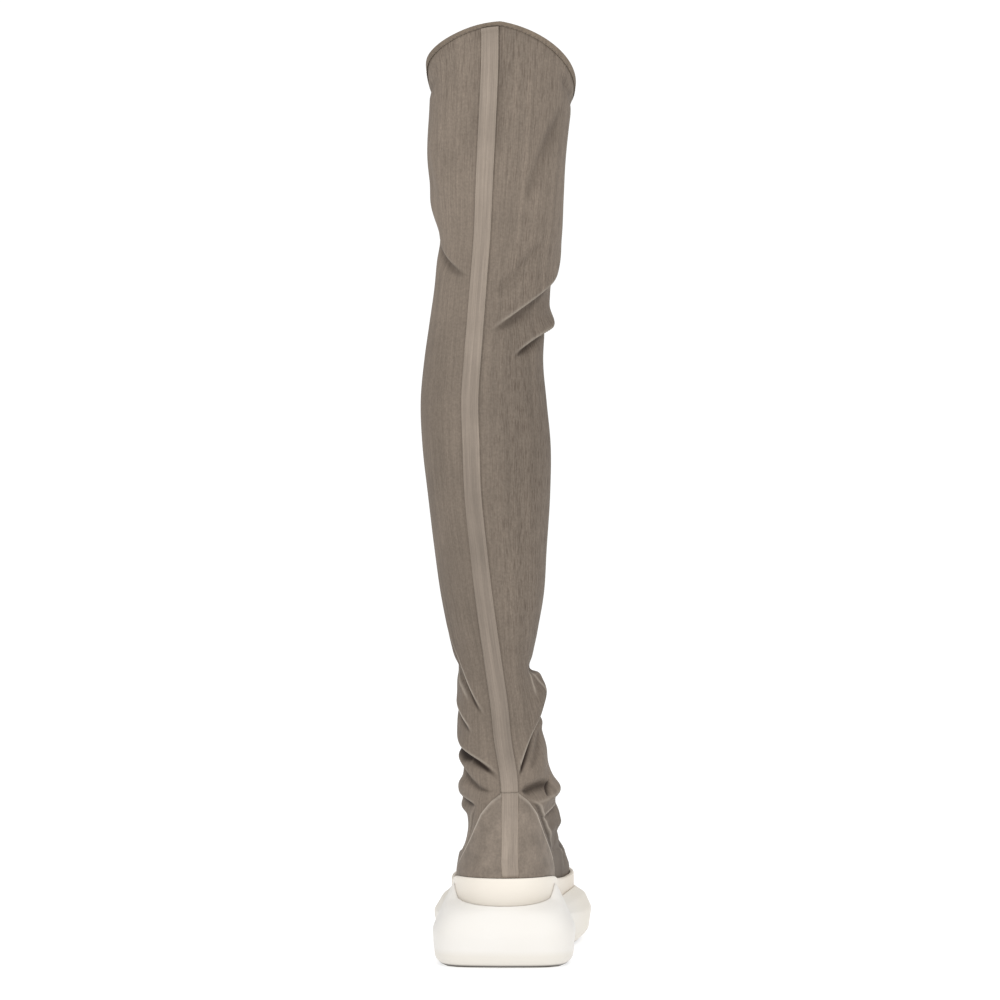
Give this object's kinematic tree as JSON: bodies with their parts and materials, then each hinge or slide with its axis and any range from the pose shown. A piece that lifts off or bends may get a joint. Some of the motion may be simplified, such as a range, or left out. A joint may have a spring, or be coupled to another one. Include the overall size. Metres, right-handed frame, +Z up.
{
  "type": "over-the-knee boot",
  "caption": "Left over-the-knee stretch boot with a slouched ankle, centre-back stay, stiff heel counters and a thick sculpted white rubber sole that waves up over a cream foxing band.",
  "frame": {"origin": "on the floor under the middle of the heel, on the flat heel tread", "axes": "+X to the medial (inner) side of this left boot, +Y from heel to toe, +Z up the shaft"},
  "size_m": [0.1374, 0.3257, 0.7496],
  "materials": {
    "white_rubber": "satin",
    "cream_rubber": "satin",
    "footbed": "matte",
    "stretch_skin": "matte",
    "counter_skin": "satin",
    "stay_tape": "matte"
  },
  "bodies": {
    "root": {"outsole": "white_rubber", "foxing_band": "cream_rubber", "insole": "footbed", "upper": "stretch_skin", "counter_medial": "counter_skin", "counter_lateral": "counter_skin", "back_stay_heel": "stay_tape", "back_stay_shaft": "stay_tape", "collar_binding": "stretch_skin"}
  },
  "joints": []
}
